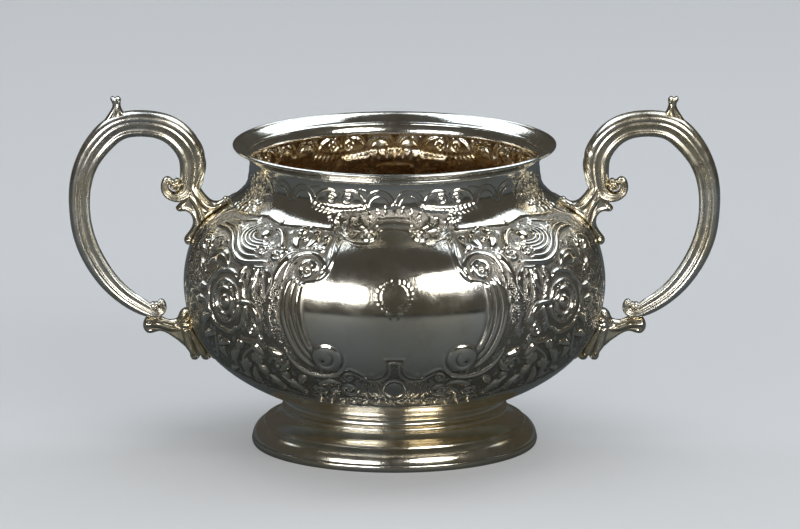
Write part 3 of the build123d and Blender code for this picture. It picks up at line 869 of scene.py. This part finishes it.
# ---- wires and foot -----------------------------------------------------------------
wire_silver = silver("wire_silver", warmth=0.3, roughness=0.1, hollows=False).material
foot_silver = silver("foot_silver", warmth=0.75, roughness=0.12, dents=0.9,
                     hollows=False).material
lip_in = LIP_R - LIP_WIRE
lip_mid = lip_in + LIP_WIRE / 2
lip_profile = np.concatenate([
    [(lip_in, LIP_Z - LIP_WIRE), (lip_mid, LIP_Z - LIP_WIRE)],
    arc((lip_mid, LIP_Z - LIP_WIRE + 0.01), (LIP_R, LIP_Z - LIP_WIRE / 2), (lip_mid, LIP_Z - 0.01)),
    [(lip_mid, LIP_Z), (lip_in, LIP_Z)],
])
neck_profile = np.concatenate([
    [(wire_low[0] - 0.3, wire_low[1] + 0.1), (wire_high[0] - 0.3, wire_high[1] + 0.1)],
    arc(wire_high, (NECK_R + 1.3, 93.95), wire_low),
])[::-1]
collar_profile = np.concatenate([
    [(33.2, 10.7), (33.2, SEAT_Z), (34.6, SEAT_Z)],
    arc((34.7, 14.95), (34.45, 13.6), (35.3, 12.3), 9),
    arc((35.4, 12.25), (36.3, 11.5), (35.7, 10.75), 9),
    [(35.6, 10.7)],
])[::-1]
dome_profile = np.concatenate([
    arc((35.7, 10.7), (37.4, 8.95), (40.7, 7.75), 14),
    [(41.0, 7.7), (41.6, 7.6), (41.8, 7.4), (41.9, 7.0)],
    arc((42.0, 6.85), (44.6, 4.75), (45.6, 2.2), 14),
    [(44.8, 2.2)],
    arc((44.75, 2.3), (43.7, 4.3), (40.9, 6.4), 8),
    arc((40.8, 6.45), (36.9, 7.9), (34.6, 10.7), 8),
])[::-1]
base_profile = np.concatenate([
    [(44.2, 0.02), (45.3, 0.0)],
    arc((45.45, 0.04), (FOOT_R, FLANGE_H / 2), (45.6, 2.15), 8),
    [(45.5, FLANGE_H), (44.2, FLANGE_H)],
])
for node, profile, columns, slot, material in (
        ("lip_wire", lip_profile, 960, "wire_silver", wire_silver),
        ("neck_wire", neck_profile, 960, "wire_silver", wire_silver),
        ("foot_collar", collar_profile, 720, "foot_silver", foot_silver),
        ("foot_dome", dome_profile, 720, "foot_silver", foot_silver),
        ("foot_base_wire", base_profile, 720, "foot_silver", foot_silver)):
    fit(lathe(node + "_turned", profile, columns), node, material)

# ---- handles ------------------------------------------------------------------------
BAR_STATIONS = 420
LEAF_FROM = 14               # stretch of the bar that carries scalloped leaf work
LEAF_TO = 33
# Section of the bar, as shares of its half width and half depth, outer edge to inner:
# outer roll, groove, thin bead, cove, and an inner bead.
SECTION = [
    (1.0, 0.0), (0.96, 0.3), (0.84, 0.6), (0.66, 0.8), (0.46, 0.87), (0.32, 0.84),
    (0.25, 0.76), (0.19, 0.80), (0.11, 0.86), (0.02, 0.83), (-0.05, 0.70), (-0.22, 0.60),
    (-0.42, 0.61), (-0.52, 0.70), (-0.62, 0.72), (-0.76, 0.62), (-0.9, 0.36), (-1.0, 0.0),
]


def hand(side):
    """Which handle a side is: 1 is the right one and -1 the left one."""
    return "right" if side > 0 else "left"


def make_bar(side):
    """The C-scroll bar, swept along its centre line with leaf work over the upper bend."""
    stations = BAR_STATIONS
    track = cubic_through(BAR, stations)
    centre, width, depth = track[:, :2], track[:, 2], track[:, 3]
    along = np.gradient(centre, axis=0)
    along /= np.hypot(*along.T)[:, None]
    across = np.stack([-along[:, 1], along[:, 0]], 1)
    half_ring = cubic_through(SECTION, 40)
    ring = np.concatenate([half_ring, half_ring[-2:0:-1] * (1, -1)])
    count = len(ring)
    run = np.concatenate([[0], np.cumsum(np.hypot(*np.diff(centre, axis=0).T))])
    ends = np.sqrt(np.clip(np.minimum(run, run[-1] - run) / 0.9, 0.02, 1))
    leafy = np.clip((run - LEAF_FROM) / 4, 0, 1) * np.clip((LEAF_TO - run) / 9, 0, 1)
    u, v = ring[:, 0], ring[:, 1]
    outer = np.clip((u - 0.25) / 0.3, 0, 1)
    scallop = np.abs(np.sin(run[:, None] * 0.62 + 2.4 * np.abs(v)[None, :]))
    carve = -0.34 * leafy[:, None] * outer[None, :] * (1 - scallop) ** 1.5
    mottle = 0.05 * ripple(run[:, None] * 0.7, u[None, :] * 3, 21)
    carve = carve + np.minimum(mottle, 0)
    u_grid = u[None, :] * ((width * ends / 2)[:, None] + carve)
    v_grid = v[None, :] * ((depth * ends / 2)[:, None] + carve)
    plane = centre[:, None, :] + across[:, None, :] * u_grid[..., None]
    points = np.stack([plane[..., 0] * side, -v_grid, plane[..., 1]], -1)
    groove = np.interp(u, [-0.62, -0.4, -0.1, 0.05, 0.19, 0.25, 0.3, 0.5],
                       [0, -0.09, -0.08, 0.03, -0.02, -0.16, 0.0, 0.05])
    hollows = np.broadcast_to(groove, (stations, count)) + carve * 0.8
    faces = ring_faces(stations, count)
    if side > 0:
        faces = faces[:, ::-1]
    last = (stations - 1) * count
    caps = [np.arange(count)[None, :], np.arange(last, last + count)[None, ::-1]]
    if side < 0:
        caps = [cap[:, ::-1] for cap in caps]
    return make_mesh(hand(side) + "_scroll_bar_cast", points.reshape(-1, 3), [faces] + caps,
                     {"hollow": hollows})


def curl_boss(name, side, centre, radius, depth, lobes):
    """Lobed button closing a curl: a little flower on each face."""
    rows, columns = 26, 60
    t = np.linspace(0, math.pi, rows)
    phi = np.arange(columns) * 2 * math.pi / columns
    shell = np.sign(np.cos(t)) * np.abs(np.cos(t)) ** 0.85
    belt = np.sin(t) ** 0.7
    petal = 1 - 0.2 * np.abs(np.cos(lobes / 2 * phi))[None, :] ** 6 * belt[:, None] ** 0.4
    rise = (shell * depth / 2)[:, None] * (1 - 0.5 * (1 - petal))
    x = centre[0] + radius * belt[:, None] * petal * np.cos(phi)[None, :]
    z = centre[1] + radius * belt[:, None] * petal * np.sin(phi)[None, :]
    points = np.stack([x * side, rise + 0 * x, z], -1)
    hollows = (petal - 1) * 1.6 * np.ones_like(x)
    faces = ring_faces(rows, columns)
    if side > 0:
        faces = faces[:, ::-1]
    return make_mesh(name, points.reshape(-1, 3), [faces], {"hollow": hollows})


def cast_plate(name, side, outline, depths, marks, round_over, cell):
    """A cast leaf mount: a smooth closed outline in side view, swelling to its half depths,
    with marks chased on both faces by a function that draws them on a chart."""
    ring = np.concatenate([cubic_through(span, 8 * (len(span) - 1) + 1)[:-1]
                           if len(span) > 2 else np.linspace(span[0], span[1], 12)[:-1]
                           for span in outline])
    low, high = ring.min(0), ring.max(0)
    gx, gz = np.meshgrid(np.arange(low[0], high[0], cell), np.arange(low[1], high[1], cell))
    cells = np.stack([gx.ravel(), gz.ravel()], 1)
    edge = np.full(len(cells), np.inf)
    for a, b in zip(ring, np.roll(ring, -1, 0)):
        ab = b - a
        t = np.clip(((cells - a) @ ab) / max(ab @ ab, 1e-9), 0, 1)
        edge = np.minimum(edge, np.hypot(*(cells - a - t[:, None] * ab).T))
    keep = within(ring, cells[:, 0], cells[:, 1]) & (edge > cell * 0.45)
    flat = np.concatenate([ring, cells[keep]])
    margin = np.concatenate([np.zeros(len(ring)), edge[keep]])
    count = len(ring)
    borders = [(k, (k + 1) % count) for k in range(count)]
    made = delaunay_2d_cdt([Vector(p) for p in flat], borders, [], 1, 1e-6)
    triangles = np.array(made[2])
    triangles = triangles[(triangles >= count).any(1)]
    if len(made[0]) != len(flat):
        raise ValueError(name + ": the outline crosses itself")
    marked = Chart(low - 1, high + 1, 0.12)
    marks(marked)
    swell = np.interp(flat[:, 0], *zip(*depths))
    u = np.clip(margin / round_over, 0, 1)
    height = swell * np.sqrt(1 - (1 - u) ** 2)
    detail = blurred(marked.raised - marked.sunk, 1)
    height = np.maximum(height + sampled(detail, marked, flat[:, 0], flat[:, 1]) * u, 0.0)
    dent = sampled(detail - blurred(detail, 5), marked, flat[:, 0], flat[:, 1]) * u
    height[:count] = 0
    front = np.stack([flat[:, 0] * side, -height, flat[:, 1]], 1)
    back = np.stack([flat[count:, 0] * side, height[count:], flat[count:, 1]], 1)
    other = np.where(triangles < count, triangles, triangles + len(flat) - count)
    if side > 0:
        other = other[:, ::-1]
    else:
        triangles = triangles[:, ::-1]
    return make_mesh(name, np.concatenate([front, back]), [triangles, other],
                     {"hollow": np.concatenate([dent, dent[count:]]) * 1.2})


def bowl_side(low_z, high_z, inset):
    """Points of the bowl's side between two heights, set into its wall."""
    heights = np.linspace(low_z, high_z, 9)
    radii = np.interp(heights, belly[:, 1], belly[:, 0])
    return [(r - inset, z) for r, z in zip(radii, heights)]


def chase(marked, ridges, knobs, grooves=()):
    """Draws a mount's ridges, then its grooves, then its knobs."""
    for lines, cut in ((ridges, False), (grooves, True)):
        for points, width, rise in lines:
            marked.stroke(points, width, rise, cut=cut)
    for centre, radius, rise in knobs:
        marked.knob(centre, radius, rise)


def upper_marks(marked):
    """Ribs and veins of the upper mount, and the leaf that runs on to the shoulder."""
    chase(marked, ridges=(
        ([(64.6, 83.6), (62.4, 79.6), (60.0, 77.4), (55.6, 77.6)], (0.9, 0.6), 0.8),
        ([(66.2, 82.2), (63.6, 78.2), (62.0, 74.6), (61.4, 70.4)], (1.0, 0.8), 0.9),
        ([(68.4, 76.4), (65.2, 75.4), (63.2, 71.6), (64.0, 67.2)], (0.7, 0.6), 0.7),
    ), grooves=(
        ([(63.8, 80.6), (61.4, 77.6), (59.8, 75.4)], 0.5, 0.6),
        ([(65.4, 79.0), (63.0, 75.4), (62.4, 71.0)], 0.5, 0.7),
    ), knobs=(((69.0, 76.6), 1.0, 0.5), ((66.0, 65.8), 1.0, 0.5), ((62.8, 69.2), 0.9, 0.7)))


def lower_marks(marked):
    """Ribs of the lower mount's stem and the veined lobes of its spreading leaf."""
    chase(marked, ridges=(
        ([(79.4, 38.4), (75.0, 38.4), (71.6, 37.4), (68.6, 37.0)], (1.1, 0.8), 0.9),
        ([(79.0, 36.2), (75.0, 36.6), (71.0, 34.6), (67.4, 30.6)], (0.7, 0.6), 0.7),
    ), knobs=())
    for x, z in ((57.6, 28.0), (61.2, 28.2), (64.9, 28.4)):
        bow = (0.6 * x + 0.4 * 68.2, 34.6 - 0.1 * (x - 61))
        marked.stroke([(68.2, 40.0), bow, (x, z)], (0.7, 1.5), 1.1, ends=(0.2, 0.1), moat=0.3)
        marked.stroke([(67.6, 37.6), bow, (x, z + 1.0)], (0.2, 0.35), 0.6, cut=True)
    for tip in ((66.8, 43.2), (64.8, 41.0), (65.2, 38.4)):
        marked.leaf((68.6, 38.4), tip, 1.0, 1.0, moat=0.3)
    chase(marked, ridges=(), knobs=(((79.8, 38.6), 0.9, 0.5),),
          grooves=(([(74.4, 39.6), (71.2, 38.8), (69.6, 38.9)], 0.5, 0.7),))


def spur_marks(marked):
    """The spur's middle rib and the knobs of its tip."""
    chase(marked, ridges=(([(90.6, 103.6), (88.6, 107.4), (88.3, 110.4)], (0.8, 0.5), 0.5),),
          knobs=(((88.0, 111.9), 0.8, 0.5), ((90.0, 111.9), 0.8, 0.5)))


UPPER_OUTLINE = [
    [(64.9, 86.6), (63.6, 85.2), (61.0, 81.5), (57.4, 78.5), (54.9, 79.4)],
    [(54.9, 79.4), (53.9, 80.2), (52.9, 79.9), (51.9, 78.4)],
    [(r, z) for r, z in reversed(bowl_side(64.4, 78.2, 0.45))],
    [(65.1, 64.4), (66.7, 64.5), (67.3, 65.9), (66.2, 68.0), (64.6, 70.8), (64.8, 73.4),
     (66.8, 75.1), (69.2, 75.2), (69.9, 76.1), (69.1, 77.5), (67.3, 79.2), (66.4, 81.4)],
    [(66.4, 81.4), (64.9, 86.6)],
]
LOWER_OUTLINE = [
    [(79.6, 40.6), (77.4, 40.5), (74.4, 40.7), (72.9, 40.0), (71.2, 39.9), (69.7, 40.4),
     (68.9, 42.1), (67.0, 43.7)],
    [(r, z) for r, z in reversed(bowl_side(27.7, 43.7, 0.45))],
    [(56.4, 27.5), (57.4, 26.9), (58.8, 27.6)],
    [(58.8, 27.6), (60.0, 26.8), (61.4, 27.0), (62.2, 28.2)],
    [(62.2, 28.2), (63.4, 26.8), (64.9, 26.9), (65.6, 28.6)],
    [(65.6, 28.6), (66.6, 30.2), (68.6, 32.2), (71.6, 34.4),
     (75.4, 35.9), (79.0, 35.3), (80.3, 36.6), (80.3, 39.4), (79.6, 40.6)],
]
SPUR_OUTLINE = [
    [(95.4, 98.6), (93.8, 102.9), (90.8, 107.6), (90.0, 110.3), (90.6, 111.6), (90.3, 112.5),
     (89.6, 112.6), (89.1, 112.2), (88.6, 112.6), (87.7, 112.5), (87.2, 111.7), (87.3, 110.6),
     (87.1, 109.0), (85.4, 106.6), (82.4, 105.6)],
    [(82.4, 105.6), (95.4, 98.6)],
]
# Half depths of the mounts, as (x, half depth).
UPPER_SWELL = [(50, 1.4), (53, 1.8), (58, 3.2), (63, 3.2), (67, 2.2), (71, 1.6)]
LOWER_SWELL = [(55, 3.6), (60, 4.4), (65, 3.8), (70, 2.4), (75, 1.9), (79, 2.5), (82, 2.1)]
SPUR_SWELL = [(82, 1.2), (86, 1.8), (89, 1.7), (92, 1.8), (96, 1.0)]

handle_silver = silver("handle_silver", warmth=0.6, roughness=0.17, dents=0.9).material
mount_silver = silver("mount_silver", warmth=0.85, roughness=0.15, dull=0.8).material
for side in (-1, 1):
    label = hand(side)
    fit(make_bar(side), label + "_scroll_bar", handle_silver)
    for node, centre, radius, depth, lobes in (
            ("_upper_curl_boss", UPPER_CURL, 2.1, 5.6, 5),
            ("_lower_curl_boss", LOWER_CURL, 1.8, 4.6, 4)):
        boss = curl_boss(label + node + "_cast", side, centre, radius, depth, lobes)
        fit(boss, label + node, mount_silver)
    for node, outline, swell, marks, sizes in (
            ("_upper_bracket", UPPER_OUTLINE, UPPER_SWELL, upper_marks, (1.3, 0.32)),
            ("_lower_bracket", LOWER_OUTLINE, LOWER_SWELL, lower_marks, (1.3, 0.32)),
            ("_thumb_spur", SPUR_OUTLINE, SPUR_SWELL, spur_marks, (0.9, 0.22))):
        plate = cast_plate(label + node + "_cast", side, outline, swell, marks, *sizes)
        fit(plate, label + node, mount_silver)

# ---- floor, light and camera --------------------------------------------------------
REACH = 60.0                 # half width of the floor
JUST_BELOW = -0.0002         # height of the darker floor, a painted reflection, under the pale one
floor_mesh = bpy.data.meshes.new("floor")
floor_mesh.from_pydata([(-REACH, -REACH, 0), (REACH, -REACH, 0), (REACH, REACH, 0),
                        (-REACH, REACH, 0)], [], [(0, 1, 2, 3)])
floor = bpy.data.objects.new("floor", floor_mesh)
bpy.context.scene.collection.objects.link(floor)
floor_look = bpy.data.materials.new("floor_paper")
floor_look.use_nodes = True
paper = floor_look.node_tree.nodes["Principled BSDF"]
paper.inputs["Base Color"].default_value = (0.27, 0.273, 0.277, 1)
paper.inputs["Emission Color"].default_value = (0.8, 0.81, 0.82, 1)
paper.inputs["Emission Strength"].default_value = 0.26
paper.inputs["Roughness"].default_value = 0.8
floor_mesh.materials.append(floor_look)
# The silver is given a painted reflection of a dark table while the camera sees a pale floor: the
# floor has a darker copy that only reflections see.
floor.visible_glossy = False
floor.visible_shadow = False
shade = floor.copy()
shade.name = "floor_seen_in_the_silver"
shade.data = floor_mesh.copy()
shade.location.z = JUST_BELOW
painted_reflection_look = floor_look.copy()
painted_reflection_paper = painted_reflection_look.node_tree.nodes["Principled BSDF"]
# dark colour of the painted reflection, seen only by glossy rays
painted_reflection_paper.inputs["Base Color"].default_value = (0.056, 0.064, 0.067, 1)
painted_reflection_paper.inputs["Emission Strength"].default_value = 0.0
shade.data.materials[0] = painted_reflection_look
bpy.context.scene.collection.objects.link(shade)
for flag in ("visible_camera", "visible_diffuse", "visible_shadow", "visible_transmission"):
    setattr(shade, flag, False)
shade.visible_glossy = True


def softbox(name, azimuth, elevation, distance, width, height, power, colour=(1, 1, 1)):
    """A soft rectangular light aimed at the bowl; azimuth is from the front, to the right."""
    lamp = bpy.data.lights.new(name, "AREA")
    lamp.shape = "RECTANGLE"
    lamp.size, lamp.size_y = width, height
    lamp.energy = power
    lamp.color = colour
    holder = bpy.data.objects.new(name, lamp)
    bpy.context.scene.collection.objects.link(holder)
    a, e = math.radians(azimuth), math.radians(elevation)
    away = Vector((math.sin(a) * math.cos(e), -math.cos(a) * math.cos(e), math.sin(e)))
    middle = Vector((0, 0, WAIST_Z * MM))
    holder.location = middle + away * distance
    holder.rotation_euler = away.to_track_quat("Z", "Y").to_euler()
    return holder


softbox("front_left_box", -34, 17.5, 1.3, 0.80, 0.26, 6)
oval = softbox("front_right_box", 32.5, 29, 1.3, 0.80, 0.44, 9)
oval.data.shape = "ELLIPSE"
for side in (-1, 1):
    softbox(hand(side) + "_rear_box", 133 * side, 53, 1.4, 0.95, 0.95, 8, (0.80, 0.90, 1.0))
fill = softbox("overhead_fill", 0, 88, 2.0, 2.0, 2.0, 22)
lit_by_fill = bpy.data.collections.new("lit_by_fill")
lit_by_fill.objects.link(floor)
fill.light_linking.receiver_collection = lit_by_fill

world = bpy.data.worlds.new("studio")
bpy.context.scene.world = world
world.use_nodes = True
world.node_tree.nodes["Background"].inputs["Color"].default_value = (0.062, 0.058, 0.05, 1)

VIEW_ELEVATION = math.radians(12.2)
VIEW_DISTANCE = 3.0
VIEW_SPAN = 0.256
aim = Vector((1.76, 0, 57.7)) * MM
lens = bpy.data.cameras.new("camera")
camera = bpy.data.objects.new("camera", lens)
bpy.context.scene.collection.objects.link(camera)
camera.location = aim + VIEW_DISTANCE * Vector((0, -math.cos(VIEW_ELEVATION),
                                                math.sin(VIEW_ELEVATION)))
camera.rotation_euler = (math.pi / 2 - VIEW_ELEVATION, 0, 0)
lens.sensor_width = 36
lens.lens = lens.sensor_width * VIEW_DISTANCE / VIEW_SPAN
lens.clip_end = 100
bpy.context.scene.camera = camera
bpy.context.scene.view_settings.view_transform = "Standard"
